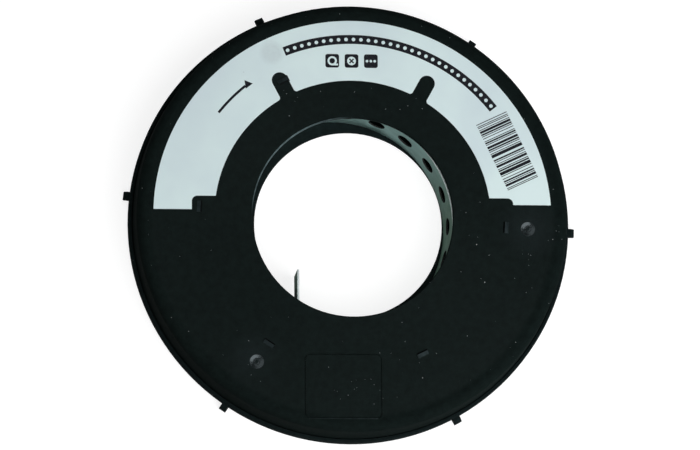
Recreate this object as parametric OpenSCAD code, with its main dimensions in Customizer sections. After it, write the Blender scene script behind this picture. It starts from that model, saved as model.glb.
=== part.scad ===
// Perforated steel strap, coiled in a round two-part dispenser cassette.
// The cassette lies on its back: +Z is the disc's axis and leaves the labelled face,
// +Y points to the top of the label, and the origin is the centre of the back face.

/* [Strap] */
// Width of the strap
strap_w = 17; // [12:0.5:30]
// Thickness of the strap
strap_t = 0.8; // [0.5:0.05:1]
// Radius of the round holes
hole_r = 3.4; // [2:0.1:5]
// Distance from one hole's centre to the next, along the strap
hole_pitch = 13.1; // [11:0.1:16]
// Distance from the strap's free end to its first hole's centre
first_hole = 9.4; // [6:0.1:10]
// Number of tightly wound turns
wound_turns = 25; // [12:1:30]
// How far the shells' flanges cover the wound turns' bore, inwards
flange = 8.2; // [6:0.1:9]
// Outer radius of the wound turns
coil_out_r = 78.2; // [70:0.1:90]
// Depth of the gaps that show between the turns on the coil's ends
turn_gap_depth = 0.6; // [0.2:0.1:2]

/* [Loose turn] */
// How far the loose turn stands into the front shell's bore
turn_in = 1.4; // [0.5:0.1:3]
// How far the loose turn's circle passes into the wound turns on its far side
turn_past = 2.8; // [2:0.1:4]
// Direction in which the loose turn comes closest to the axis, in degrees
turn_dir = 20; // [10:1:30]
// Angle at which the loose turn meets the quarter turn before the bend, in degrees
quarter_at = -36.8699; // [-40:0.0001:-30]
// How much smaller that quarter turn's radius is than the loose turn's
quarter_less = 8.6; // [6:0.1:10]
// Inner radius of the bend
bend_r = 1.5; // [1:0.1:3]
// How far the strap is bent inwards there, in degrees
bend_deg = 53.1301; // [45:0.0001:60]
// Length of the straight free end
tail_len = 13.9; // [13:0.1:20]

/* [Cassette] */
// Wall thickness of both shells
wall = 1.5; // [1:0.1:2]
// Play between the strap and the shells, on each side
play = 0.3; // [0.2:0.05:0.5]
// Radius of the front shell's bore
front_bore_r = 39.3; // [39:0.1:40]
// Radius of the back shell's bore
back_bore_r = 37; // [34:0.1:38]
// How far the flat front face reaches past the wound turns, to its rounded shoulder
face_past = 2.8; // [2.4:0.1:6]
// Radius of the front shell's rounded shoulder
shoulder_r = 3.5; // [2:0.1:5]
// How much wider the front shell's side is at its foot than under the shoulder
side_draft = 0.7; // [0:0.1:1.5]
// Gap between the front shell's side and the back shell's rim
rim_gap = 0.2; // [0.1:0.05:0.4]
// Thickness of the back shell's upright rim
rim_t = 1.3; // [1:0.1:2]
// Height of the back shell's upright rim
rim_h = 5; // [3:0.1:8]
// Size of the small chamfers along the shells' edges
edge = 0.4; // [0.2:0.05:0.8]
// Size of the larger chamfer round the back shell's outer and bore edges
back_edge = 0.7; // [0.3:0.05:1]

/* [Rim tabs] */
// Width of each tab along the rim
tab_w = 3; // [2:0.1:5]
// How far each tab stands out of the rim
tab_out = 2.4; // [1:0.1:4]
// Height of each tab
tab_h = 3.6; // [2:0.1:4]
// Height of the tabs' underside above the back face
tab_z = 0.9; // [0.7:0.1:1.2]

/* [Front face] */
// Distance of the raised catches' ridges from the axis
catch_at_r = 59.7; // [58:0.1:62]
// Length of each catch
catch_l = 4.4; // [3:0.1:6]
// Height of each catch above the face
catch_h = 0.6; // [0.3:0.1:0.8]
// Width of a catch's steep side, towards the axis
catch_in = 0.6; // [0.3:0.1:0.8]
// Width of a catch's gentle side, away from the axis
catch_out = 1.8; // [1:0.1:2.4]
// Turn of the first catch, in degrees
catch_turn = -3.5; // [-5:0.5:0]
// Distance of the gate marks from the axis
gate_at_r = 68.8; // [66:0.1:72]
// Radius of each gate mark
gate_r = 2.8; // [2:0.1:3.5]
// Depth of each gate mark
gate_depth = 0.4; // [0.2:0.1:0.8]
// Radius of the sprue stub in each gate mark
stub_r = 0.7; // [0.4:0.1:1]
// Width of the moulded frame on the face
frame_w = 30.2; // [20:0.1:40]
// Height of the moulded frame on the face
frame_h = 25.4; // [15:0.1:28]
// Centre of the moulded frame, to the right of the axis
frame_x = -4.3; // [-10:0.1:10]
// Centre of the moulded frame, below the axis
frame_y = 66.8; // [60:0.1:68]
// Corner radius of the moulded frame
frame_corner_r = 2.2; // [1:0.1:4]
// Width and depth of the line that draws the moulded frame
frame_line = 0.4; // [0.2:0.05:0.6]

/* [Label] */
// Thickness of the label
label_t = 0.15; // [0.1:0.01:0.3]
// Outer radius of the label
label_out_r = 78; // [70:0.1:80]
// Inner radius of the label
label_in_r = 54.2; // [50:0.1:57]
// Height of the label's right foot above the axis
foot_right_y = 5.3; // [3:0.1:8]
// Height of the label's left foot above the axis
foot_left_y = 2.5; // [1:0.1:8]
// How far each foot's notch reaches outwards, from the axis
notch_out_r = 63; // [58:0.1:66]
// Height of the notches above the axis
notch_y = 7.9; // [6:0.1:12]
// Corner radius of the notches
notch_corner_r = 2.2; // [0.5:0.1:2.4]
// Width of the two round-ended cut-outs in the label's inner edge
tongue_w = 6.3; // [4:0.1:8]
// Distance of the cut-outs' round ends from the axis, to their centres
tongue_at_r = 61; // [58:0.1:64]
// Clearance between the label and a catch beside it
label_gap = 0.15; // [0.1:0.05:0.4]

/* [Hidden] */
$fn = 96;
overrun = 0.3;
// Turn of each rim tab, in degrees
tab_turns = [-1.7, 55.8, 113.1, 173, 235.8, 298.5];
// The catches are a sixth of a turn apart, and the label covers the place of the second.
catch_step = 60;
catch_places = [0, 2, 3, 4, 5];
// The gate marks sit beside every second place.
gate_places = [0, 2, 4];
// Turn of the two cut-outs in the label, in degrees
tongue_turns = [61, 117.6];
coil_in_r = front_bore_r + flange;
turn_near = front_bore_r - turn_in;
turn_far = coil_in_r + turn_past;
turn_r = (turn_far + turn_near) / 2;
turn_off = (turn_far - turn_near) / 2;
quarter_r = turn_r - quarter_less;
quarter_deg = 90;
face_r = coil_out_r + face_past;
cassette_h = 2 * (wall + play) + strap_w;
strap_z = wall + play;
side_top_r = face_r + shoulder_r;
side_foot_r = side_top_r + side_draft;
rim_in_r = side_foot_r + rim_gap;
rim_r = rim_in_r + rim_t;
turn_pitch = (coil_out_r - coil_in_r) / wound_turns;
turn_gap = turn_pitch - strap_t;
mid_t = strap_t / 2;

function dir(a) = [cos(a), sin(a)];
function arc_len(degrees, r) = degrees * PI / 180 * r;
function arc_deg(len, r) = len / r * 180 / PI;
// Angle about the loose turn's centre at which its face of radius r is this far from the axis
function turn_angle(r, reach) =
    turn_dir + acos((turn_off * turn_off + r * r - reach * reach) / (2 * turn_off * r));

turn_c = -turn_off * dir(turn_dir);
turn_end_at = turn_angle(turn_r, coil_in_r + mid_t);
turn_drill_to = turn_angle(turn_r, coil_in_r);
bend_len = arc_len(bend_deg, bend_r + mid_t);
quarter_len = arc_len(quarter_deg, quarter_r + mid_t);
turn_from = tail_len + bend_len + quarter_len;
drilled_len = turn_from + arc_len(turn_drill_to - quarter_at, turn_r + mid_t);
hole_count = floor((drilled_len - first_hole) / hole_pitch) + 1;
// The wound turn that shows beside the loose one has blind holes, up to the bend.
last_hole = first_hole + (hole_count - 1) * hole_pitch;
last_hole_at = quarter_at + arc_deg(last_hole - turn_from, turn_r + mid_t);
last_hole_c = turn_c + turn_r * dir(last_hole_at);
quarter_c = turn_c + (turn_r - quarter_r) * dir(quarter_at);
bend_c = quarter_c + (quarter_r - bend_r) * dir(quarter_at - quarter_deg);
blind_step = arc_deg(hole_pitch, coil_in_r + mid_t);
blind_from = atan2(last_hole_c.y, last_hole_c.x) + blind_step;
blind_count = floor((360 + atan2(bend_c.y, bend_c.x) - blind_from) / blind_step) + 1;

// Area of a shell's section below its outer skin, from the axis outwards
module skin_section(top, shoulder, side, foot) {
    union() {
        polygon([
            [0, wall],
            [foot, wall],
            [side, top - shoulder],
            [0, top - shoulder]
        ]);
        translate([0, top - shoulder])
            square([face_r, shoulder]);
        translate([face_r, top - shoulder])
            intersection() {
                circle(r = shoulder);
                square(shoulder);
            }
    }
}

// Triangle that chamfers a section's corner: sx and sz point into the material
module corner_cut(x, z, sx, sz, size) {
    translate([x, z])
        polygon([
            [-sx * overrun, -sz * overrun],
            [sx * (size + overrun), -sz * overrun],
            [-sx * overrun, sz * (size + overrun)]
        ]);
}

// The raised catches that keep stacked cassettes from sliding. Their sides run on into the
// wall, as deep as they stand out of it.
module face_catches() {
    for (i = catch_places)
        rotate(catch_turn + i * catch_step)
            translate([catch_at_r, catch_l / 2, cassette_h])
                rotate([90, 0, 0])
                    linear_extrude(catch_l)
                        polygon([
                            [-2 * catch_in, -catch_h],
                            [2 * catch_out, -catch_h],
                            [0, catch_h]
                        ]);
}

module gate_marks() {
    for (i = gate_places)
        rotate(catch_turn + i * catch_step)
            translate([gate_at_r, 0, cassette_h - gate_depth])
                difference() {
                    cylinder(r = gate_r, h = gate_depth + overrun);
                    translate([0, 0, -overrun])
                        cylinder(r = stub_r, h = gate_depth + overrun);
                }
}

module rounded_field(w, h, r) {
    square([w - 2 * r, h], center = true);
    square([w, h - 2 * r], center = true);
    for (sx = [-1, 1], sy = [-1, 1])
        translate([sx * (w / 2 - r), sy * (h / 2 - r)])
            circle(r = r);
}

module moulded_frame() {
    translate([frame_x, -frame_y, cassette_h - frame_line])
        linear_extrude(frame_line + overrun)
            difference() {
                rounded_field(frame_w, frame_h, frame_corner_r);
                rounded_field(frame_w - 2 * frame_line, frame_h - 2 * frame_line,
                    frame_corner_r - frame_line);
            }
}

module front_shell() {
    color([0.09, 0.1, 0.1])
        difference() {
            union() {
                rotate_extrude()
                    difference() {
                        skin_section(cassette_h, shoulder_r, side_top_r, side_foot_r);
                        translate([0, -overrun])
                            square([side_foot_r - wall, overrun + wall]);
                        skin_section(cassette_h - wall, shoulder_r - wall, side_top_r - wall,
                            side_foot_r - wall);
                        square([front_bore_r, cassette_h + overrun]);
                        corner_cut(front_bore_r, cassette_h, 1, -1, edge);
                    }
                face_catches();
            }
            gate_marks();
            moulded_frame();
        }
}

// One tab on the rim, with a sloped top for snapping the shells together
module rim_tab() {
    translate([0, tab_w / 2, 0])
        rotate([90, 0, 0])
            linear_extrude(tab_w)
                polygon([
                    [rim_r - rim_t / 2, tab_z],
                    [rim_r + tab_out, tab_z],
                    [rim_r + tab_out, tab_z + tab_h - tab_out / 2],
                    [rim_r + tab_out / 2, tab_z + tab_h],
                    [rim_r - rim_t / 2, tab_z + tab_h]
                ]);
}

module back_shell() {
    color([0.08, 0.09, 0.09])
        union() {
            rotate_extrude()
                difference() {
                    union() {
                        translate([back_bore_r, 0])
                            square([rim_r - back_bore_r, wall]);
                        translate([rim_in_r, 0])
                            square([rim_t, rim_h]);
                    }
                    corner_cut(rim_r, 0, -1, 1, back_edge);
                    corner_cut(back_bore_r, 0, 1, 1, back_edge);
                    corner_cut(rim_r, rim_h, -1, -1, edge);
                }
            for (turn = tab_turns)
                rotate(turn)
                    rim_tab();
        }
}

// A round-ended cut-out that opens into the label's inner edge
module tongue() {
    translate([0, -tongue_w / 2])
        square([tongue_at_r, tongue_w]);
    translate([tongue_at_r, 0])
        circle(d = tongue_w);
}

// The notch that steps each foot up at its inner end: side is 1 on the right and -1 on the left
module foot_notch(side) {
    mirror([side < 0 ? 1 : 0, 0]) {
        square([notch_out_r - notch_corner_r, notch_y]);
        square([notch_out_r, notch_y - notch_corner_r]);
        translate([notch_out_r - notch_corner_r, notch_y - notch_corner_r])
            circle(r = notch_corner_r);
    }
}

// The outline of the catches, widened so that the label's edges clear them
module catch_clearance() {
    for (i = catch_places)
        rotate(catch_turn + i * catch_step)
            translate([catch_at_r - catch_in - label_gap, -catch_l / 2 - label_gap])
                square([catch_in + catch_out + 2 * label_gap, catch_l + 2 * label_gap]);
}

module label() {
    color([0.78, 0.84, 0.86])
        translate([0, 0, cassette_h])
            linear_extrude(label_t)
                difference() {
                    circle(r = label_out_r);
                    circle(r = label_in_r);
                    translate([-label_out_r - overrun, -label_out_r - overrun])
                        square([2 * (label_out_r + overrun), label_out_r + overrun]);
                    translate([0, -overrun])
                        square([label_out_r + overrun, foot_right_y + overrun]);
                    translate([-label_out_r - overrun, -overrun])
                        square([label_out_r + overrun, foot_left_y + overrun]);
                    foot_notch(1);
                    foot_notch(-1);
                    for (turn = tongue_turns)
                        rotate(turn)
                            tongue();
                    catch_clearance();
                }
}

// The frames of the strap's stretches: each one's centre is its origin, and its X axis
// points to where it meets the stretch before it.
module turn_frame() {
    translate([turn_c.x, turn_c.y, strap_z])
        rotate(quarter_at)
            children();
}

module quarter_frame() {
    turn_frame()
        translate([turn_r - quarter_r, 0, 0])
            children();
}

module bend_frame() {
    quarter_frame()
        rotate(-quarter_deg)
            translate([quarter_r - bend_r, 0, 0])
                children();
}

module tail_frame() {
    bend_frame()
        rotate(-bend_deg)
            children();
}

// A curved stretch of strap from its frame's X axis, with its inner face at r
module strap_arc(r, degrees) {
    rotate_extrude(angle = degrees)
        translate([r, 0])
            square([strap_t, strap_w]);
}

// A drill through a stretch of strap whose inner face is at r
module strap_drill(r, degrees, along) {
    rotate(degrees)
        translate([r - overrun, along, strap_w / 2])
            rotate([0, 90, 0])
                cylinder(r = hole_r, h = strap_t + 2 * overrun);
}

// The drill of the hole at a distance s from the free end
module drill_at(s) {
    past_tail = s - tail_len;
    past_bend = past_tail - bend_len;
    past_quarter = s - turn_from;
    if (past_tail < 0)
        tail_frame() strap_drill(bend_r, 0, past_tail);
    else if (past_bend < 0)
        tail_frame() strap_drill(bend_r, arc_deg(past_tail, bend_r + mid_t), 0);
    else if (past_quarter < 0)
        quarter_frame() strap_drill(quarter_r, arc_deg(past_quarter, quarter_r + mid_t), 0);
    else
        turn_frame() strap_drill(turn_r, arc_deg(past_quarter, turn_r + mid_t), 0);
}

// The innermost turn, from the wound coil round the bore to the bent free end
module loose_turn() {
    turn_frame() strap_arc(turn_r, turn_end_at - quarter_at);
    quarter_frame() rotate(-quarter_deg) strap_arc(quarter_r, quarter_deg);
    tail_frame() strap_arc(bend_r, bend_deg);
    tail_frame()
        translate([bend_r, -tail_len, 0])
            cube([strap_t, tail_len, strap_w]);
}

// The wound turns as one turned solid, whose ends show every turn
module wound_coil() {
    translate([0, 0, strap_z])
        rotate_extrude()
            difference() {
                translate([coil_in_r, 0])
                    square([coil_out_r - coil_in_r, strap_w]);
                for (i = [1 : wound_turns - 1], z = [-overrun, strap_w - turn_gap_depth])
                    translate([coil_in_r + i * turn_pitch - turn_gap, z])
                        square([turn_gap, turn_gap_depth + overrun]);
            }
}

module strap() {
    color([0.62, 0.65, 0.63])
        difference() {
            union() {
                wound_coil();
                loose_turn();
            }
            for (i = [0 : hole_count - 1])
                drill_at(first_hole + i * hole_pitch);
            for (i = [0 : blind_count - 1])
                translate([0, 0, strap_z])
                    strap_drill(coil_in_r - overrun, blind_from + i * blind_step, 0);
        }
}

back_shell();
front_shell();
label();
strap();
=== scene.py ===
"""Looks of the perforated steel strap in its dispenser cassette, in metres and in the CAD model's frame."""

import math

import bpy
from mathutils import Matrix, Vector


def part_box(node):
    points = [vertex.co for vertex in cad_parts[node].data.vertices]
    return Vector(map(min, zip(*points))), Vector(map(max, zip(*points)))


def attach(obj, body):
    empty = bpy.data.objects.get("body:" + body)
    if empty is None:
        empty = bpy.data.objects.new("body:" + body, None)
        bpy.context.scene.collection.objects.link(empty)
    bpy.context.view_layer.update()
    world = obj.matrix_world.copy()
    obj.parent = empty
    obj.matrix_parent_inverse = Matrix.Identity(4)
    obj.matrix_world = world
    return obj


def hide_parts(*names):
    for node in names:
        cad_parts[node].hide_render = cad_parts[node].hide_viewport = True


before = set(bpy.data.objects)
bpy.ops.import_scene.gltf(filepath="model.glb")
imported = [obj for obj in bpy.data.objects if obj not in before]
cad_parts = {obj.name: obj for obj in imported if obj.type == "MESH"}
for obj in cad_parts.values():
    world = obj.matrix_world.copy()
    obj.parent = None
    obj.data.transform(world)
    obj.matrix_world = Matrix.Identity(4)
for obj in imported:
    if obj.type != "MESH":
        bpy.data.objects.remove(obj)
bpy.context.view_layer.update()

MM = 0.001

# Heights and radii read from the model's nodes
label_low, label_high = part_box("label")
face_z = label_low.z
label_top = label_high.z
label_out_r = label_high.y
foot_left_y = label_low.y

# How far cutters run past a face, how near a point counts as on an edge, how near two points count as one,
# above which angle an edge is rounded, and below which two faces look like one round surface
overrun = 1 * MM
edge_play = 0.02 * MM
merge_gap = 0.001 * MM
sharp_above = math.radians(50)
smooth_below = math.radians(40)

# The turn of the first catch and the first gate mark, in degrees
first_turn = -3.5

# The raised catches on the face, with a steep side towards the axis and a gentle one away from it
catch_turns = tuple(first_turn + 60 * i for i in (0, 2, 3, 4, 5))
catch_at_r = 59.7 * MM
catch_l = 4.4 * MM
catch_in = 0.6 * MM
catch_out = 1.8 * MM
# How far the painted highlight reaches along each catch's gentle side
lit_slope_w = 0.8 * catch_out

# The label's outline: its inner arc, the notch in each foot, the two tongues of bare face with their round
# ends, and the room that it leaves round the catch beside the left tongue
label_in_r = 54.2 * MM
foot_right_y = 5.3 * MM
notch_out_r = 63 * MM
notch_y = 7.9 * MM
notch_corner_r = 2.2 * MM
tongue_w = 6.3 * MM
tongue_at_r = 61 * MM
tongue_turns = (61, 117.6)
tongue_corner_r = 1.1 * MM
corner_reach = tongue_corner_r + 0.25 * MM
catch_room = 0.15 * MM
catch_by_tongue = catch_turns[1]

# The printed marks on the label: a block of bars, a curved drawing of the strap, panels and an arrow
ink_t = 0.02 * MM
ink_top = label_top + ink_t
bars_at = (60.9 * MM, 26.8 * MM)
bars_turn = 25.2
bars_size = (13.2 * MM, 28.6 * MM)
band_at_r = 70.6 * MM
band_w = 3.6 * MM
band_from, band_to = 38, 112
band_hole_r = 0.72 * MM
band_hole_count = 31
panel_y = 62 * MM
panel_size = 5.4 * MM
panel_step = 7.6 * MM
arrow_at_r = 66.4 * MM
arrow_w = 1 * MM
arrow_from, arrow_to = 129, 142
arrow_head_r = 2 * MM
arrow_head_turn = 128

# The panels' drawings, as shares of the panel's size
panel_corner_share = 0.16
coil_ring_shares = (0.2, 0.34)
coil_tail_share = 0.42
screw_head_share = 0.32
screw_arm_shares = (0.22, 0.05)
dot_share = 0.1
dot_step_share = 0.28

# The strap: its punched row, and the path of its loose turn as centre, radius of its middle, two angles
# and how far the strap leans outwards at each of them
strap_w = 17 * MM
strap_t = 0.8 * MM
strap_z = 1.8 * MM
hole_r = 3.4 * MM
hole_pitch = 13.1 * MM
first_hole = 9.4 * MM
loose_cells = 16
cell_cuts = 8
hole_sides = 4 * cell_cuts
sheared_edge = 0.12 * MM
tail_len = 13.9 * MM
loose_path = (
    ((-19.346 * MM, -34.4805 * MM), 1.9 * MM, 180, 233.13, 1.2, 1.5),
    ((1.054 * MM, -7.2805 * MM), 35.9 * MM, 233.13, 323.13, 1.5, 6),
    ((-5.826 * MM, -2.1205 * MM), 44.5 * MM, 323.13, 448, 6, 6),
    ((-5.826 * MM, -2.1205 * MM), 44.5 * MM, 448, 508, 6, 0.5),
)
wound_turns = 25
coil_in_r = 47.5 * MM
coil_out_r = 78.2 * MM
turn_pitch = (coil_out_r - coil_in_r) / wound_turns
turn_gap_depth = 0.6 * MM
shared_hole_at = 142.29
blind_step = 15.67
blind_count = 6

# The strap's three finishes, by the place of each in its material slots
PLATED, SLIT_EDGE, HOLE_WALL = 0, 1, 2

# The edge of the front shell's bore, where a painted highlight runs along its upper left
edge_highlight_r = 39.5 * MM
edge_highlight_w = 0.48 * MM

# The dished gate marks on the face, and the steps from rim to middle: inwards and up, as shares of the radius
gate_turns = tuple(first_turn + 120 * i for i in range(3))
gate_at_r = 68.8 * MM
gate_r = 2.78 * MM
gate_depth = 0.39 * MM
dish_step_shares = (
    (0.12, -0.02),
    (0.14, -0.045),
    (0.16, -0.04),
    (0.2, -0.02),
    (0.08, 0.01),
    (0.03, 0.08),
    (0.1, 0.02),
)

# The moulded frame's lower line, painted pale as a highlight: its middle, half its length and its width
frame_line_at = (-4.3 * MM, -79.5 * MM)
frame_line_half = 13.5 * MM
frame_line_w = 0.4 * MM

# The grey smudge on the label: its middle and reach
smudge_at = (-31.3 * MM, 65 * MM)
smudge_r = 5.4 * MM

# Where dust has gathered on the face: x, y and how far it reaches
dust_places = (
    (81 * MM, -7 * MM, 9 * MM),
    (69 * MM, -12 * MM, 8 * MM),
    (2 * MM, -66 * MM, 12 * MM),
    (-24 * MM, 45 * MM, 8 * MM),
    (25 * MM, 45 * MM, 8 * MM),
    (23 * MM, -36 * MM, 5 * MM),
    (-39 * MM, -61 * MM, 7 * MM),
)

# The black plastic, its gate haze, painted highlights and painted shade, and its dust, as linear red, green
# and blue, and how much dust each shell holds
front_colour = (0.0032, 0.006, 0.0055)
back_colour = (0.0052, 0.0088, 0.009)
front_dust = 0.4
back_dust = 0.15
dust_colour = (0.5, 0.54, 0.55, 1)
gate_haze_colour = (0.013, 0.018, 0.02, 1)
# Painted highlights on the bore's edge, the frame's lower line and the catches' gentle sides, and painted
# shade on the catches' steep sides
painted_edge_highlight_colour = (0.12, 0.17, 0.18, 1)
frame_line_highlight_colour = (0.026, 0.035, 0.037, 1)
painted_slope_highlight_colour = (0.016, 0.023, 0.025, 1)
painted_steep_shade_colour = (0.0006, 0.0008, 0.0008, 1)

# The table, how bright it is for the eye and in reflections, the room's light at the horizon and overhead,
# and the heights of the gaze between which one passes into the other
table_size = 8
table_gap = 0.05 * MM
table_seen = 0.8
table_mirrored = 0.07
room_at_horizon = 0.1
room_overhead = 0.03
room_heights = (0.1, 0.75)

# The view: the camera leans from the face's axis to the lower left
image_width = 700
pixel = 0.39 * MM
lean = math.radians(11.7)
lean_across = Vector((0.8712, -0.4909, 0))
lean_down = Vector((-0.4909, -0.8712, 0))
aim_right = -2.93 * pixel
aim_up = -8.08 * pixel
camera_far = 3.0
sensor = 36


def deselect():
    bpy.ops.object.select_all(action="DESELECT")


def activate(piece):
    deselect()
    piece.select_set(True)
    bpy.context.view_layer.objects.active = piece


def newest(name):
    """The primitive that was just added, under its own name."""
    piece = bpy.context.object
    piece.name = name
    piece.data.name = name
    return piece


def settle(piece):
    """Moves a piece's place and turn into its mesh."""
    activate(piece)
    bpy.ops.object.transform_apply(location=True, rotation=True, scale=True)
    return piece


def finish_with(piece, kind, **settings):
    """Adds a modifier of this kind and applies it."""
    activate(piece)
    modifier = piece.modifiers.new(kind.title(), kind)
    for key, value in settings.items():
        setattr(modifier, key, value)
    bpy.ops.object.modifier_apply(modifier=modifier.name)
    return piece


def repeated(piece, count, step):
    """The piece in a row of copies along x, with the points merged where they meet."""
    return finish_with(
        piece,
        "ARRAY",
        count=count,
        use_relative_offset=False,
        use_constant_offset=True,
        constant_offset_displace=(step, 0, 0),
        use_merge_vertices=True,
        merge_threshold=merge_gap,
    )


def smooth(piece):
    """Lets round surfaces look round, and keeps edges sharp."""
    activate(piece)
    bpy.ops.object.shade_smooth_by_angle(angle=smooth_below)


def join(name, pieces):
    activate(pieces[0])
    for piece in pieces:
        piece.select_set(True)
    if len(pieces) > 1:
        bpy.ops.object.join()
    return newest(name)


def cut(piece, cutter):
    """Cuts the cutter's shape out of the piece, and removes the cutter."""
    finish_with(piece, "BOOLEAN", operation="DIFFERENCE", solver="EXACT", object=cutter)
    bpy.data.objects.remove(cutter)
    return piece


def fuse(piece, other):
    """Makes one solid of two, and removes the second."""
    finish_with(piece, "BOOLEAN", operation="UNION", solver="EXACT", object=other)
    bpy.data.objects.remove(other)
    return piece


def turned(piece, degrees, centre=(0, 0)):
    """Turns a piece about the upright axis through a point, and settles it."""
    settle(piece)
    turn = Matrix.Rotation(math.radians(degrees), 3, "Z")
    about = Vector((*centre, 0))
    piece.location = about - turn @ about
    piece.rotation_euler.z = math.radians(degrees)
    return settle(piece)


def block(name, low, high):
    """A box from its lowest to its highest corner."""
    low, high = Vector(low), Vector(high)
    deselect()
    bpy.ops.mesh.primitive_cube_add(size=1, location=(low + high) / 2)
    piece = newest(name)
    piece.scale = high - low
    return settle(piece)


def disc(name, radius, low_z, high_z, place=(0, 0), sides=64):
    deselect()
    bpy.ops.mesh.primitive_cylinder_add(
        vertices=sides, radius=radius, depth=high_z - low_z, location=(*place, (low_z + high_z) / 2)
    )
    return settle(newest(name))


def ring(name, in_r, out_r, low_z, high_z, place=(0, 0), sides=256):
    """A flat ring."""
    piece = disc(name, out_r, low_z, high_z, place, sides)
    return cut(piece, disc("cutter", in_r, low_z - overrun, high_z + overrun, place, sides))


def select_vertices(piece, wanted):
    """Selects the vertices whose place is wanted, and leaves the piece in edit mode."""
    activate(piece)
    bpy.ops.object.mode_set(mode="EDIT")
    bpy.ops.mesh.select_mode(type="VERT")
    bpy.ops.mesh.select_all(action="DESELECT")
    bpy.ops.object.mode_set(mode="OBJECT")
    for vertex in piece.data.vertices:
        vertex.select = wanted(vertex.co)
    bpy.ops.object.mode_set(mode="EDIT")


def select_upright_edges(piece, wanted):
    """Selects the upright edges whose place from above is wanted, and leaves the piece in edit mode."""
    activate(piece)
    mesh = piece.data
    bpy.ops.object.mode_set(mode="EDIT")
    bpy.ops.mesh.select_mode(type="EDGE")
    bpy.ops.mesh.select_all(action="DESELECT")
    bpy.ops.object.mode_set(mode="OBJECT")
    for edge in mesh.edges:
        a, b = (mesh.vertices[i].co for i in edge.vertices)
        upright = (a - b).to_2d().length < edge_play and abs(a.z - b.z) > ink_t / 2
        edge.select = upright and wanted(a.x, a.y)
    bpy.ops.object.mode_set(mode="EDIT")


def round_upright_edges(piece, radius, wanted, segments=8):
    """Rounds the upright edges whose place from above is wanted."""
    select_upright_edges(piece, wanted)
    bpy.ops.mesh.bevel(offset=radius, segments=segments, affect="EDGES")
    bpy.ops.object.mode_set(mode="OBJECT")
    return piece


def mend_spun(piece):
    """Merges the doubles of a spun piece, turns its faces outwards and leaves edit mode."""
    bpy.ops.mesh.select_all(action="SELECT")
    bpy.ops.mesh.remove_doubles(threshold=merge_gap)
    bpy.ops.mesh.normals_make_consistent(inside=False)
    bpy.ops.object.mode_set(mode="OBJECT")
    return piece


def below(name, y, x_low, x_high):
    """A cutter for all of the label that lies below y."""
    low = (x_low, -label_out_r - overrun, face_z - overrun)
    return block(name, low, (x_high, y, label_top + overrun))


def tongue_cutter(degrees):
    """The round-ended cut-out in the label's inner edge."""
    low_z, high_z = face_z - overrun, label_top + overrun
    slot = block("tongue", (label_in_r - tongue_w, -tongue_w / 2, low_z), (tongue_at_r, tongue_w / 2, high_z))
    end = disc("tongue_end", tongue_w / 2, low_z, high_z, (tongue_at_r, 0))
    return turned(fuse(slot, end), degrees)


def catch_cutter():
    """Room for the raised catch beside the left tongue."""
    in_r = catch_at_r - catch_in - catch_room
    out_r = catch_at_r + catch_out + catch_room
    half = catch_l / 2 + catch_room
    room = block("catch_room", (in_r, -half, face_z - overrun), (out_r, half, label_top + overrun))
    return turned(room, catch_by_tongue)


def notch_cutter(side):
    """The step at the inner end of a foot: side is 1 on the right and -1 on the left."""
    x_low, x_high = sorted((0, side * notch_out_r))
    cutter = block("notch", (x_low, -overrun, face_z - overrun), (x_high, notch_y, label_top + overrun))
    return round_upright_edges(cutter, notch_corner_r, lambda x, y: abs(x) > overrun and y > 0)


def tongue_corners():
    """Where the tongues' sides meet the label's inner arc."""
    half_turn = math.asin(tongue_w / 2 / label_in_r)
    turns = [math.radians(degrees) + side * half_turn for degrees in tongue_turns for side in (-1, 1)]
    return [(label_in_r * math.cos(turn), label_in_r * math.sin(turn)) for turn in turns]


def make_label():
    """The die-cut film label on the upper half of the face."""
    film = ring("label_film", label_in_r, label_out_r, face_z, label_top)
    for cutter in (
        below("right", foot_right_y, 0, label_out_r + overrun),
        below("left", foot_left_y, -label_out_r - overrun, 0),
        notch_cutter(1),
        notch_cutter(-1),
        *(tongue_cutter(degrees) for degrees in tongue_turns),
        catch_cutter(),
    ):
        cut(film, cutter)

    corners = tongue_corners()

    def to_corner(x, y):
        return min(math.hypot(x - corner_x, y - corner_y) for corner_x, corner_y in corners)

    # The corners lose their close neighbours on the arc, so that the rounding has room
    activate(film)
    bpy.ops.object.mode_set(mode="EDIT")
    bpy.ops.mesh.select_all(action="SELECT")
    bpy.ops.mesh.remove_doubles(threshold=edge_play)
    bpy.ops.object.mode_set(mode="OBJECT")
    select_upright_edges(film, lambda x, y: edge_play < to_corner(x, y) < corner_reach)
    bpy.ops.mesh.dissolve_edges(use_verts=True)
    bpy.ops.object.mode_set(mode="OBJECT")
    round_upright_edges(film, tongue_corner_r, lambda x, y: to_corner(x, y) <= edge_play)

    film.data.materials.append(label_material())
    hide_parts("label")
    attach(film, "cassette")


def make_bars():
    """A block of plain bars with made-up widths, a bar and a gap in turn."""
    widths = (
        *(1, 1, 1, 2, 3, 1, 1, 1, 2, 2, 1, 3, 1, 1, 4, 1, 2, 1, 1, 2),
        *(3, 1, 1, 2, 1, 1, 2, 3, 4, 1, 1, 2, 1, 1, 2, 1, 3, 2, 1, 1),
        *(2, 1, 1, 3, 1, 2, 1, 1, 2, 1, 3, 1, 1, 2, 1, 1, 1, 2, 1),
    )
    half, height = bars_size[0] / 2, bars_size[1]
    unit = height / sum(widths)
    bars, y = [], -height / 2
    for i, width in enumerate(widths):
        y_next = y + width * unit
        if i % 2 == 0:
            bars.append(block("bar", (-half, y, label_top), (half, y_next, ink_top)))
        y = y_next
    bars = join("print_bars", bars)
    bars.location = (*bars_at, 0)
    return turned(bars, bars_turn, bars_at)


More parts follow.
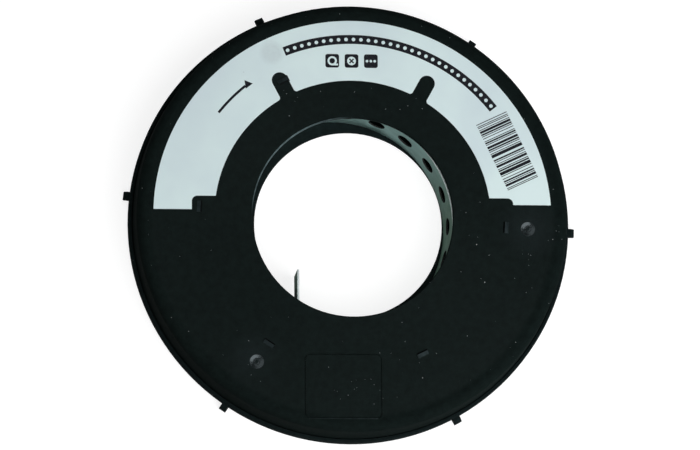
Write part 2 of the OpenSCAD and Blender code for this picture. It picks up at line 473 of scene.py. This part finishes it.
def sector(name, in_r, out_r, from_deg, to_deg):
    """A curved band of ink between two angles, spun from its end section."""
    deselect()
    bpy.ops.mesh.primitive_plane_add(
        size=1, location=((in_r + out_r) / 2, 0, (label_top + ink_top) / 2), rotation=(math.radians(90), 0, 0)
    )
    piece = newest(name)
    piece.scale = (out_r - in_r, ink_t, 1)
    turned(piece, from_deg)
    bpy.ops.object.mode_set(mode="EDIT")
    bpy.ops.mesh.select_all(action="SELECT")
    bpy.ops.mesh.spin(
        steps=to_deg - from_deg, angle=math.radians(from_deg - to_deg), center=(0, 0, 0), axis=(0, 0, 1)
    )
    return mend_spun(piece)


def ink_hole(name, radius, place, sides):
    """A cutter for a round hole in the ink."""
    return disc(name, radius, label_top - overrun, label_top + overrun, place, sides)


def make_band_mark():
    """A curved drawing of the strap with its row of holes."""
    band = sector("print_band", band_at_r - band_w / 2, band_at_r + band_w / 2, band_from, band_to)
    step = (band_to - band_from) / band_hole_count
    holes = []
    for i in range(band_hole_count):
        hole = ink_hole("hole", band_hole_r, (band_at_r, 0), 24)
        holes.append(turned(hole, band_from + (i + 0.5) * step))
    return cut(band, join("holes", holes))


def rounded_panel(x):
    """A square of ink with rounded corners."""
    half = panel_size / 2
    panel = block("panel", (x - half, panel_y - half, label_top), (x + half, panel_y + half, ink_top))
    return round_upright_edges(panel, panel_corner_share * panel_size, lambda px, py: True, segments=5)


def coil_panel(x):
    """A pictogram of a coil with its loose end."""
    panel = rounded_panel(x)
    low_z, high_z = label_top - overrun, label_top + overrun
    in_r, out_r = (share * panel_size for share in coil_ring_shares)
    cut(panel, ring("coil_ring", in_r, out_r, low_z, high_z, (x, panel_y), 32))
    tail_end = x + coil_tail_share * panel_size
    return cut(panel, block("coil_tail", (x, panel_y - out_r, low_z), (tail_end, panel_y - in_r, high_z)))


def screw_panel(x):
    """A pictogram of a screw head with its cross."""
    panel = cut(rounded_panel(x), ink_hole("screw_head", screw_head_share * panel_size, (x, panel_y), 32))
    half_l, half_w = (share * panel_size for share in screw_arm_shares)
    arms = []
    for degrees in (45, 135):
        low, high = (x - half_l, panel_y - half_w, label_top), (x + half_l, panel_y + half_w, ink_top)
        arms.append(turned(block("screw_arm", low, high), degrees, (x, panel_y)))
    return join("screw_panel", [panel, *arms])


def holes_panel(x):
    """A pictogram of the strap's row of holes."""
    dots = []
    for i in (-1, 0, 1):
        place = (x + i * dot_step_share * panel_size, panel_y)
        dots.append(ink_hole("dot", dot_share * panel_size, place, 24))
    return cut(rounded_panel(x), join("dots", dots))


def make_panels():
    return join("print_panels", [coil_panel(-panel_step), screw_panel(0), holes_panel(panel_step)])


def make_arrow():
    """A curved arrow that shows which way the strap is drawn."""
    shaft = sector("shaft", arrow_at_r - arrow_w / 2, arrow_at_r + arrow_w / 2, arrow_from, arrow_to)
    deselect()
    bpy.ops.mesh.primitive_cylinder_add(
        vertices=3, radius=arrow_head_r, depth=ink_t, location=(0, 0, (label_top + ink_top) / 2)
    )
    head = turned(newest("head"), -90)
    head.location.x = arrow_at_r
    return join("print_arrow", [shaft, turned(head, arrow_head_turn)])


def make_print():
    """All printed marks on the label, as one thin layer of ink."""
    marks = join("label_print", [make_bars(), make_band_mark(), make_panels(), make_arrow()])
    marks.data.materials.append(ink_material())
    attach(marks, "cassette")


def make_cell(strap_finishes):
    """One pitch of flat strap round its punched hole, lying in the floor's plane."""
    deselect()
    bpy.ops.mesh.primitive_grid_add(x_subdivisions=cell_cuts, y_subdivisions=cell_cuts, size=1)
    cell = newest("cell")
    cell.scale = (hole_pitch, strap_w, 1)
    settle(cell)
    for finish in strap_finishes:
        cell.data.materials.append(finish)

    # Only the rim of the grid stays, and is bridged to the hole
    x_in, y_in = hole_pitch / 2 - edge_play, strap_w / 2 - edge_play
    select_vertices(cell, lambda at: abs(at.x) < x_in and abs(at.y) < y_in)
    bpy.ops.mesh.delete(type="VERT")
    bpy.ops.mesh.primitive_circle_add(vertices=hole_sides, radius=hole_r, fill_type="NOTHING")
    bpy.ops.mesh.select_all(action="SELECT")
    bpy.ops.mesh.bridge_edge_loops(number_cuts=2, interpolation="LINEAR", smoothness=0)
    bpy.ops.object.mode_set(mode="OBJECT")
    return cell


def path_curve():
    """The middle line of the tail, the bend and the loose turn, as a helper for the Curve modifier."""
    bend_centre, bend_r, _, _, tail_lean, _ = loose_path[0]
    points = [(bend_centre[0] - bend_r, bend_centre[1] + tail_len, tail_lean)]
    for centre, radius, start, stop, lean_from, lean_to in loose_path:
        steps = round(stop - start)
        # An arc's first point is the last one of the arc before it
        first = 0 if centre == bend_centre else 1
        for i in range(first, steps + 1):
            share = i / steps
            angle = math.radians(start + (stop - start) * share)
            x, y = centre[0] + radius * math.cos(angle), centre[1] + radius * math.sin(angle)
            points.append((x, y, lean_from + (lean_to - lean_from) * share))
    data = bpy.data.curves.new("strap_path", "CURVE")
    data.dimensions = "3D"
    data.twist_mode = "Z_UP"
    spline = data.splines.new("POLY")
    spline.points.add(len(points) - 1)
    for point, (x, y, outwards) in zip(spline.points, points):
        point.co = (x, y, 0, 1)
        point.tilt = math.radians(outwards)
    curve = bpy.data.objects.new("strap_path", data)
    bpy.context.collection.objects.link(curve)
    return curve


def make_loose_turn(strap_finishes):
    """The punched strap round the bore, with its bent free end: made straight, then laid along its path."""
    loose = make_cell(strap_finishes)
    loose.name = "loose_turn"
    loose.location.x = first_hole
    settle(loose)
    repeated(loose, loose_cells, hole_pitch)
    tip = first_hole - hole_pitch / 2
    select_vertices(loose, lambda at: at.x < tip + edge_play)
    bpy.ops.mesh.extrude_region_move(TRANSFORM_OT_translate={"value": (-tip, 0, 0)})
    bpy.ops.object.mode_set(mode="OBJECT")
    loose.rotation_euler.x = math.radians(90)
    settle(loose)
    finish_with(loose, "SOLIDIFY", thickness=strap_t, offset=0, material_offset_rim=SLIT_EDGE)
    finish_with(loose, "BEVEL", width=sheared_edge, segments=2, limit_method="ANGLE", angle_limit=sharp_above)
    for face in loose.data.polygons:
        along = (face.center.x - first_hole) % hole_pitch
        along = min(along, hole_pitch - along)
        if face.material_index == SLIT_EDGE and math.hypot(along, face.center.z) < 1.1 * hole_r:
            face.material_index = HOLE_WALL
    curve = path_curve()
    finish_with(loose, "CURVE", object=curve, deform_axis="POS_X")
    bpy.data.objects.remove(curve)
    loose.location.z = strap_z + strap_w / 2
    return settle(loose)


def radial_drill(degrees, from_r, to_r):
    deselect()
    bpy.ops.mesh.primitive_cylinder_add(
        vertices=hole_sides,
        radius=hole_r,
        depth=to_r - from_r,
        location=((from_r + to_r) / 2, 0, strap_z + strap_w / 2),
        rotation=(0, math.radians(90), 0),
    )
    return turned(newest("drill"), degrees)


def wound_outline():
    """The outline of all wound turns, cut along the coil's axis, with the gaps between them at both ends."""
    deselect()
    bpy.ops.mesh.primitive_plane_add(size=1, location=(turn_pitch / 2, strap_w / 2, 0))
    section = newest("wound_turns")
    section.scale = (turn_pitch, strap_w, 1)
    settle(section)
    for at, normal in (
        ((strap_t, 0), (1, 0)),
        ((0, turn_gap_depth), (0, 1)),
        ((0, strap_w - turn_gap_depth), (0, 1)),
    ):
        activate(section)
        bpy.ops.object.mode_set(mode="EDIT")
        bpy.ops.mesh.select_all(action="SELECT")
        bpy.ops.mesh.bisect(plane_co=(*at, 0), plane_no=(*normal, 0))
        bpy.ops.object.mode_set(mode="OBJECT")
    repeated(section, wound_turns, turn_pitch)

    # The faces in the gaps between two turns go
    activate(section)
    bpy.ops.object.mode_set(mode="EDIT")
    bpy.ops.mesh.select_mode(type="FACE")
    bpy.ops.mesh.select_all(action="DESELECT")
    bpy.ops.object.mode_set(mode="OBJECT")
    for face in section.data.polygons:
        beside_turn = face.center.x % turn_pitch > strap_t
        between_turns = beside_turn and face.center.x < (wound_turns - 1) * turn_pitch
        at_end = min(face.center.y, strap_w - face.center.y) < turn_gap_depth
        face.select = between_turns and at_end
    bpy.ops.object.mode_set(mode="EDIT")
    bpy.ops.mesh.delete(type="FACE")

    # Of the other faces only their common outline is kept
    bpy.ops.mesh.select_all(action="SELECT")
    bpy.ops.mesh.region_to_loop()
    bpy.ops.mesh.select_all(action="INVERT")
    bpy.ops.mesh.delete(type="EDGE_FACE")
    bpy.ops.mesh.select_all(action="SELECT")
    bpy.ops.mesh.delete_loose(use_verts=True, use_edges=False, use_faces=False)
    bpy.ops.object.mode_set(mode="OBJECT")
    section.rotation_euler.x = math.radians(90)
    section.location = (coil_in_r, 0, strap_z)
    return settle(section)


def make_wound_coil(strap_finishes):
    """The wound turns: their outline is spun, and the innermost turn gets its holes."""
    wound = wound_outline()
    bpy.ops.object.mode_set(mode="EDIT")
    bpy.ops.mesh.select_all(action="SELECT")
    bpy.ops.mesh.spin(steps=144, angle=math.radians(360), center=(0, 0, 0), axis=(0, 0, 1))
    mend_spun(wound)
    drills = []
    for i in range(blind_count + 1):
        drills.append(radial_drill(shared_hole_at + i * blind_step, coil_in_r - overrun, coil_in_r + strap_t))
    cut(wound, join("drills", drills))
    for finish in strap_finishes:
        wound.data.materials.append(finish)
    for face in wound.data.polygons:
        reach = face.center.to_2d()
        in_innermost_turn = reach.length < coil_in_r + strap_t + 0.1 * MM
        if in_innermost_turn and abs(face.normal.to_2d() @ reach) < 0.9 * reach.length:
            face.material_index = HOLE_WALL
        elif abs(face.normal.z) > 0.7:
            face.material_index = SLIT_EDGE
        else:
            face.material_index = PLATED
    return wound


def make_strap():
    """The whole strap as one piece: the loose turn and the wound turns."""
    strap_finishes = (steel_material(), edge_material(), wall_material())
    loose = make_loose_turn(strap_finishes)
    strap = fuse(make_wound_coil(strap_finishes), loose)
    strap.name = strap.data.name = "perforated_strap"
    smooth(strap)
    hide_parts("strap")
    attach(strap, "coil")


def make_gate_marks():
    """The dished marks where the front shell's plastic ran in, each with its torn stub in the middle."""
    marks = []
    for degrees in gate_turns:
        deselect()
        bpy.ops.mesh.primitive_circle_add(
            vertices=48, radius=gate_r, fill_type="NGON", location=(gate_at_r, 0, face_z - gate_depth)
        )
        dish = settle(newest("gate_mark"))
        bpy.ops.object.mode_set(mode="EDIT")
        bpy.ops.mesh.select_mode(type="FACE")
        bpy.ops.mesh.select_all(action="SELECT")
        bpy.ops.mesh.extrude_region_move(TRANSFORM_OT_translate={"value": (0, 0, gate_depth)})
        for inwards, up in dish_step_shares:
            bpy.ops.mesh.inset(thickness=inwards * gate_r, depth=0)
            bpy.ops.transform.translate(value=(0, 0, up * gate_r))
        bpy.ops.mesh.select_all(action="SELECT")
        bpy.ops.mesh.normals_make_consistent(inside=False)
        bpy.ops.object.mode_set(mode="OBJECT")
        marks.append(turned(dish, degrees))
    marks = join("gate_marks", marks)
    smooth(marks)
    marks.data.materials.append(gate_material())
    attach(marks, "cassette")


class Nodes:
    """A material's node tree, with short calls to add and link its nodes."""

    def __init__(self, name):
        self.material = bpy.data.materials.new(name)
        self.material.use_nodes = True
        self.tree = self.material.node_tree
        self.shader = self.tree.nodes["Principled BSDF"]
        self.place = self.add("ShaderNodeTexCoord").outputs["Object"]

    def add(self, kind, settings=None, **inputs):
        node = self.tree.nodes.new(kind)
        for key, value in (settings or {}).items():
            setattr(node, key, value)
        for key, value in inputs.items():
            self.put(node.inputs[key.replace("_", " ")], value)
        return node

    def put(self, socket, value):
        """Links a socket to another one, or sets its value."""
        if isinstance(value, bpy.types.NodeSocket):
            self.tree.links.new(value, socket)
        else:
            socket.default_value = value

    def finish(self, **inputs):
        """Sets the shader's own sockets, and gives the material."""
        for key, value in inputs.items():
            self.put(self.shader.inputs[key.replace("_", " ")], value)
        return self.material

    def math(self, operation, *values):
        node = self.add("ShaderNodeMath", {"operation": operation})
        for socket, value in zip(node.inputs, values):
            self.put(socket, value)
        return node.outputs[0]

    def product(self, first, *others):
        for other in others:
            first = self.math("MULTIPLY", first, other)
        return first

    def within(self, value, middle, half):
        """1 where the value lies no further than half from the middle, and 0 elsewhere."""
        return self.math("COMPARE", value, middle, half)

    def ramp(self, value, low, high, to_low, to_high):
        node = self.add("ShaderNodeMapRange")
        for socket, v in zip(node.inputs, (value, low, high, to_low, to_high)):
            self.put(socket, v)
        return node.outputs[0]

    def mix(self, factor, a, b):
        node = self.add("ShaderNodeMix", {"data_type": "RGBA"})
        self.put(node.inputs[0], factor)
        self.put(node.inputs[6], a)
        self.put(node.inputs[7], b)
        return node.outputs[2]

    def bump(self, height, distance, strength=1.0, after=None):
        node = self.add("ShaderNodeBump", Strength=strength, Distance=distance, Height=height)
        if after is not None:
            self.put(node.inputs["Normal"], after)
        return node.outputs[0]

    def place_parts(self):
        """The place's x and y, and its distance from the axis."""
        split = self.add("ShaderNodeSeparateXYZ")
        self.put(split.inputs[0], self.place)
        x, y = split.outputs["X"], split.outputs["Y"]
        return x, y, self.math("SQRT", self.math("ADD", self.product(x, x), self.product(y, y)))

    def distance_to(self, x, y, z=face_z):
        node = self.add("ShaderNodeVectorMath", {"operation": "DISTANCE"})
        self.put(node.inputs[0], self.place)
        self.put(node.inputs[1], (x, y, z))
        return node.outputs["Value"]

    def stretched(self, x, y, z):
        """The place with its three axes scaled, for a pattern that runs one way."""
        node = self.add("ShaderNodeMapping")
        self.put(node.inputs["Vector"], self.place)
        node.inputs["Scale"].default_value = (x, y, z)
        return node.outputs[0]

    def noise(self, scale, detail=2, roughness=0.5, at=None):
        node = self.add("ShaderNodeTexNoise", Scale=scale, Detail=detail, Roughness=roughness)
        self.put(node.inputs["Vector"], at or self.place)
        return node.outputs["Fac"]

    def cells(self, scale):
        """Scattered cells: the distance to each one's middle, and three random numbers for each."""
        cells = self.add("ShaderNodeTexVoronoi", Scale=scale)
        self.put(cells.inputs["Vector"], self.place)
        chance = self.add("ShaderNodeSeparateColor")
        self.put(chance.inputs[0], cells.outputs["Color"])
        return cells.outputs["Distance"], chance.outputs

    def drift(self, scale, places=()):
        """How thickly dust lies, from 0 to 1: in loose drifts, and thickest where it has gathered."""
        thick = self.ramp(self.noise(scale, 1), 0.45, 0.75, 0.02, 0.2 if places else 1)
        for x, y, reach in places:
            gathered = self.ramp(self.distance_to(x, y), 0.2 * reach, reach, 1, 0)
            thick = self.math("MAXIMUM", thick, gathered)
        return thick

    def specks(self, scale, radius, share, drift):
        """Small round specks of uneven brightness: share of the cells hold one where dust is thickest."""
        distance, chance = self.cells(scale)
        chosen = self.math("GREATER_THAN", chance[0], self.ramp(drift, 0, 1, 1, 1 - share))
        edge = self.math("ADD", self.product(chance[1], radius), 0.6 * radius)
        inside = self.ramp(distance, edge, self.product(edge, 0.6), 0.0, 1.0)
        return self.product(chosen, inside, self.ramp(chance[2], 0, 1, 0.25, 1))


def tinted(colour, share):
    return (*(channel * share for channel in colour), 1)


def add_front_haze_and_painted_light(n, base, x, y, reach, flow, mottle):
    """The front shell's marks: a haze round the gates, painted highlights on the bore's edge, the frame's
    lower line and the catches, and painted shade on the catches' steep sides.
    """
    haze = 0.0
    for degrees in gate_turns:
        turn = math.radians(degrees)
        to_gate = n.distance_to(gate_at_r * math.cos(turn), gate_at_r * math.sin(turn))
        near = n.ramp(to_gate, 2 * MM, 13 * MM, 0.55, 0)
        haze = n.math("MAXIMUM", haze, n.product(near, n.ramp(flow, 0.4, 0.65, 0.1, 1)))
    base = n.mix(haze, base, gate_haze_colour)

    # The bore's edge at the upper left, painted pale as a highlight where the edge catches the light
    lit_side = n.ramp(n.math("SUBTRACT", y, x), 1.02 * edge_highlight_r, 1.4 * edge_highlight_r, 0, 0.8)
    edge_highlight = n.product(n.within(reach, edge_highlight_r, edge_highlight_w / 2), lit_side, n.ramp(mottle, 0.35, 0.6, 0.5, 1))
    base = n.mix(edge_highlight, base, painted_edge_highlight_colour)

    # The moulded frame's lower line, painted pale as a highlight, palest at its right end
    middle_x, middle_y = frame_line_at
    in_line = n.product(n.within(y, middle_y, frame_line_w / 2), n.within(x, middle_x, frame_line_half))
    from_left = n.ramp(x, middle_x - frame_line_half, middle_x + frame_line_half, 0.35, 1)
    base = n.mix(n.product(in_line, from_left, n.ramp(mottle, 0.3, 0.6, 0.2, 0.9)), base, frame_line_highlight_colour)

    # The catches: a painted highlight on the ridge and most of the gentle side, and painted shade on the
    # steep side
    for degrees in catch_turns:
        c, s = math.cos(math.radians(degrees)), math.sin(math.radians(degrees))
        outwards = n.math("ADD", n.product(x, c), n.product(y, s))
        beside = n.within(n.math("SUBTRACT", n.product(y, c), n.product(x, s)), 0.0, catch_l / 2)
        gentle = n.within(outwards, catch_at_r + lit_slope_w / 2, lit_slope_w / 2)
        steep = n.within(outwards, catch_at_r - catch_in / 2, catch_in / 2)
        base = n.mix(n.product(gentle, beside, n.ramp(mottle, 0.35, 0.6, 0.3, 1)), base, painted_slope_highlight_colour)
        base = n.mix(n.product(steep, beside), base, painted_steep_shade_colour)
    return base


def moulded_plastic(name, colour, dust, front=False):
    """Black moulded plastic with flow marks and dust. The front has its mould's turned rings, its gate haze
    and its painted highlights and shade too.
    """
    n = Nodes(name)
    grain = n.noise(2400, 3)
    flow = n.noise(16, 3, 0.55)
    mottle = n.noise(420, 4, 0.6)
    x, y, reach = n.place_parts()
    base = n.mix(n.ramp(mottle, 0.3, 0.7, 0, 1), tinted(colour, 0.75), tinted(colour, 1.3))
    normal = n.bump(flow, 0.4 * MM, 0.2)
    if front:
        base = add_front_haze_and_painted_light(n, base, x, y, reach, flow, mottle)
        rings = n.add(
            "ShaderNodeTexNoise", {"noise_dimensions": "1D"}, W=reach, Scale=5200, Detail=2, Roughness=0.6
        )
        normal = n.bump(rings.outputs["Fac"], 0.08 * MM, 1.0, normal)

    drift = n.drift(24, dust_places if front else ())
    specks = n.math("MAXIMUM", n.specks(900, 0.1, dust, drift), n.specks(330, 0.06, 0.6 * dust, drift))
    rough = n.math("ADD", n.ramp(flow, 0.35, 0.65, 0.5, 0.62), n.ramp(grain, 0.3, 0.7, -0.04, 0.04))
    rough_side = n.ramp(reach, label_out_r, label_out_r + 2 * MM, 0, 0.32)
    return n.finish(
        Base_Color=n.mix(specks, base, dust_colour),
        Roughness=n.math("MAXIMUM", n.math("ADD", rough, rough_side), n.product(specks, 0.9)),
        Normal=n.bump(grain, 0.02 * MM, 0.35, normal),
        Specular_IOR_Level=0.08,
        Specular_Tint=(0.8, 1, 0.98, 1),
    )


def dress_shells():
    """The two shells keep the CAD model's shape, and get their moulded finish."""
    front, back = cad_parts["front_shell"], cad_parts["back_shell"]
    front.material_slots[0].material = moulded_plastic(
        "black moulded front", front_colour, front_dust, front=True
    )
    back.material_slots[0].material = moulded_plastic("black moulded back", back_colour, back_dust)


def gate_material():
    """The gate marks: the same black plastic, drawn smooth and shiny."""
    n = Nodes("shiny gate mark")
    pull = n.noise(900, 3, 0.6)
    return n.finish(
        Base_Color=n.mix(n.ramp(pull, 0.35, 0.65, 0, 1), (0.006, 0.009, 0.009, 1), (0.016, 0.02, 0.021, 1)),
        Roughness=n.ramp(pull, 0.3, 0.7, 0.16, 0.32),
        Normal=n.bump(pull, 0.08 * MM, 0.5),
        Specular_IOR_Level=0.6,
        Specular_Tint=(0.8, 0.95, 1, 1),
    )


def label_material():
    """Satin film in a pale blue-green white, slightly uneven, with one grey smudge and a little dirt."""
    n = Nodes("pale satin film")
    cloud = n.noise(30, 3)
    fine = n.noise(900, 2)
    base = n.mix(n.ramp(cloud, 0.35, 0.65, 0, 1), (0.59, 0.7, 0.73, 1), (0.66, 0.79, 0.79, 1))
    smudge = n.ramp(n.distance_to(*smudge_at, label_top), 0.55 * smudge_r, smudge_r, 0.45, 0)
    base = n.mix(n.product(smudge, n.ramp(fine, 0.3, 0.7, 0.7, 1)), base, (0.45, 0.52, 0.54, 1))
    dirt = n.specks(260, 0.06, 0.12, n.drift(16))
    return n.finish(
        Base_Color=n.mix(n.product(dirt, 0.5), base, (0.3, 0.33, 0.34, 1)),
        Roughness=n.ramp(fine, 0.3, 0.7, 0.42, 0.52),
        Normal=n.bump(cloud, 0.3 * MM, 0.15),
    )


def ink_material():
    """Black screen ink, a little thin in places."""
    n = Nodes("black screen ink")
    cover = n.noise(1800, 3)
    return n.finish(
        Base_Color=n.mix(n.ramp(cover, 0.4, 0.8, 0, 1), (0.006, 0.006, 0.009, 1), (0.02, 0.022, 0.028, 1)),
        Roughness=n.ramp(cover, 0.3, 0.7, 0.45, 0.6),
        Specular_IOR_Level=0.12,
    )


def steel_material():
    """Zinc-plated strip: rolling lines along the strap, soft spangle, and painted shade that darkens its
    lower part.
    """
    n = Nodes("zinc-plated strip")
    lines = n.noise(1, 4, 0.6, n.stretched(16, 16, 1500))
    bloom = n.noise(75, 4, 0.6)
    uneven = n.ramp(bloom, 0.35, 0.7, 0, 1)
    _, spangle = n.cells(360)
    _, y, _ = n.place_parts()
    lit_tone = n.mix(uneven, (0.4, 0.62, 0.59, 1), (0.6, 0.86, 0.83, 1))
    shaded_tone = n.mix(uneven, (0.17, 0.31, 0.225, 1), (0.265, 0.45, 0.345, 1))
    # Painted shade: the plating darkens from y = 30 mm down to y = 2 mm, and stays dark below
    base = n.mix(n.ramp(y, 2 * MM, 30 * MM, 1, 0), lit_tone, shaded_tone)
    return n.finish(
        Base_Color=n.mix(n.product(spangle[0], 0.15), base, (0.7, 0.86, 0.83, 1)),
        Metallic=1.0,
        Roughness=n.math("ADD", n.ramp(lines, 0.3, 0.7, 0.36, 0.5), n.ramp(bloom, 0.3, 0.7, -0.04, 0.08)),
        Normal=n.bump(lines, 0.03 * MM, 0.4),
    )


def edge_material():
    """The slit edges: bare steel, made pale and half metallic as a painted highlight along them, with short
    upright scratches.
    """
    n = Nodes("sheared strip edge")
    scratch = n.noise(1, 3, 0.6, n.stretched(2600, 2600, 260))
    patch = n.noise(240, 3)
    return n.finish(
        # Painted highlight: a pale, half metallic base so the edges read bright
        Base_Color=n.mix(n.ramp(patch, 0.35, 0.65, 0, 1), (0.5, 0.57, 0.56, 1), (0.68, 0.75, 0.74, 1)),
        Metallic=0.5,
        Roughness=n.ramp(scratch, 0.3, 0.7, 0.45, 0.65),
        Normal=n.bump(scratch, 0.03 * MM, 0.5),
    )


def wall_material():
    """The punched holes' walls: torn, and near black as painted shade so that the holes read dark."""
    n = Nodes("punched wall")
    tear = n.noise(1, 4, 0.6, n.stretched(3200, 3200, 900))
    return n.finish(
        # Painted shade: near black walls
        Base_Color=n.mix(n.ramp(tear, 0.3, 0.7, 0, 1), (0.012, 0.014, 0.014, 1), (0.06, 0.065, 0.062, 1)),
        Metallic=0.6,
        Roughness=n.ramp(tear, 0.3, 0.7, 0.5, 0.75),
        Normal=n.bump(tear, 0.05 * MM, 0.6),
    )


def table_material():
    """A table that is white for the eye, dimmer in reflections, and keeps a soft shadow."""
    n = Nodes("white table")
    rays = n.add("ShaderNodeLightPath").outputs
    mirrored = n.math("MAXIMUM", rays["Is Glossy Ray"], rays["Is Transmission Ray"])
    seen = n.product(rays["Is Camera Ray"], table_seen)
    return n.finish(
        Base_Color=n.mix(mirrored, (0.35, 0.35, 0.35, 1), (0.2, 0.22, 0.215, 1)),
        Roughness=0.9,
        Specular_IOR_Level=0.0,
        Emission_Color=(1, 1, 1, 1),
        Emission_Strength=n.math("MAXIMUM", seen, n.product(mirrored, table_mirrored)),
    )


def make_table():
    deselect()
    bpy.ops.mesh.primitive_plane_add(size=table_size, location=(0, 0, -table_gap))
    table = newest("table")
    table.data.materials.append(table_material())


def softbox(name, degrees, elevation, distance, size, watts, colour):
    """A square lamp that faces the part, from a compass angle seen from above and an elevation."""
    a, e = math.radians(degrees), math.radians(elevation)
    place = Vector((math.cos(a) * math.cos(e), math.sin(a) * math.cos(e), math.sin(e))) * distance
    deselect()
    bpy.ops.object.light_add(type="AREA", location=place)
    lamp = bpy.context.object
    lamp.name = name
    lamp.rotation_mode = "QUATERNION"
    lamp.rotation_quaternion = place.to_track_quat("Z", "Y")
    lamp.data.size = size
    lamp.data.energy = watts
    lamp.data.color = colour


def make_light():
    """Three lamps: at the lower right, low beside it to reach into the bore, and wide at the upper left."""
    softbox("key_light", degrees=-50, elevation=46, distance=0.8, size=1.0, watts=9.2, colour=(1, 1, 1))
    softbox("side_light", degrees=-24, elevation=9, distance=1.2, size=0.4, watts=3.2, colour=(0.8, 0.9, 1))
    softbox("back_light", degrees=135, elevation=52, distance=1.5, size=1.6, watts=7, colour=(0.97, 0.99, 1))


def make_room():
    """A white room for the eye, which lights the part a little, and more from the sides than from above."""
    world = bpy.data.worlds.new("studio")
    world.use_nodes = True
    nodes, links = world.node_tree.nodes, world.node_tree.links
    rays = nodes.new("ShaderNodeLightPath")
    direction = nodes.new("ShaderNodeTexCoord")
    height = nodes.new("ShaderNodeSeparateXYZ")
    dome = nodes.new("ShaderNodeMapRange")
    strength = nodes.new("ShaderNodeMath")
    strength.operation = "MAXIMUM"
    for socket, value in zip(dome.inputs[1:5], (*room_heights, room_at_horizon, room_overhead)):
        socket.default_value = value
    links.new(direction.outputs["Generated"], height.inputs[0])
    links.new(height.outputs["Z"], dome.inputs[0])
    links.new(dome.outputs[0], strength.inputs[0])
    links.new(rays.outputs["Is Camera Ray"], strength.inputs[1])
    links.new(strength.outputs[0], nodes["Background"].inputs["Strength"])
    nodes["Background"].inputs["Color"].default_value = (1, 1, 1, 1)
    bpy.context.scene.world = world


def make_camera():
    """A view from far off, almost without perspective, which leans as the photograph's camera does."""
    up_axis = Vector((0, 0, 1))
    across = lean_down * math.cos(lean) - up_axis * math.sin(lean)
    back = up_axis * math.cos(lean) + lean_down * math.sin(lean)
    right = lean_across.x * lean_across + lean_across.y * across
    up = lean_across.y * lean_across - lean_across.x * across
    place = Vector((0, 0, face_z)) + right * aim_right + up * aim_up + back * camera_far
    deselect()
    bpy.ops.object.camera_add()
    camera = bpy.context.object
    camera.matrix_world = Matrix((
        (right.x, up.x, back.x, place.x),
        (right.y, up.y, back.y, place.y),
        (right.z, up.z, back.z, place.z),
        (0, 0, 0, 1),
    ))
    camera.data.sensor_width = sensor
    camera.data.lens = sensor * camera_far / (image_width * pixel)
    bpy.context.scene.camera = camera


make_camera()
make_table()
make_light()
make_room()
bpy.context.scene.view_settings.view_transform = "Standard"

make_label()
make_print()
dress_shells()
make_strap()
make_gate_marks()
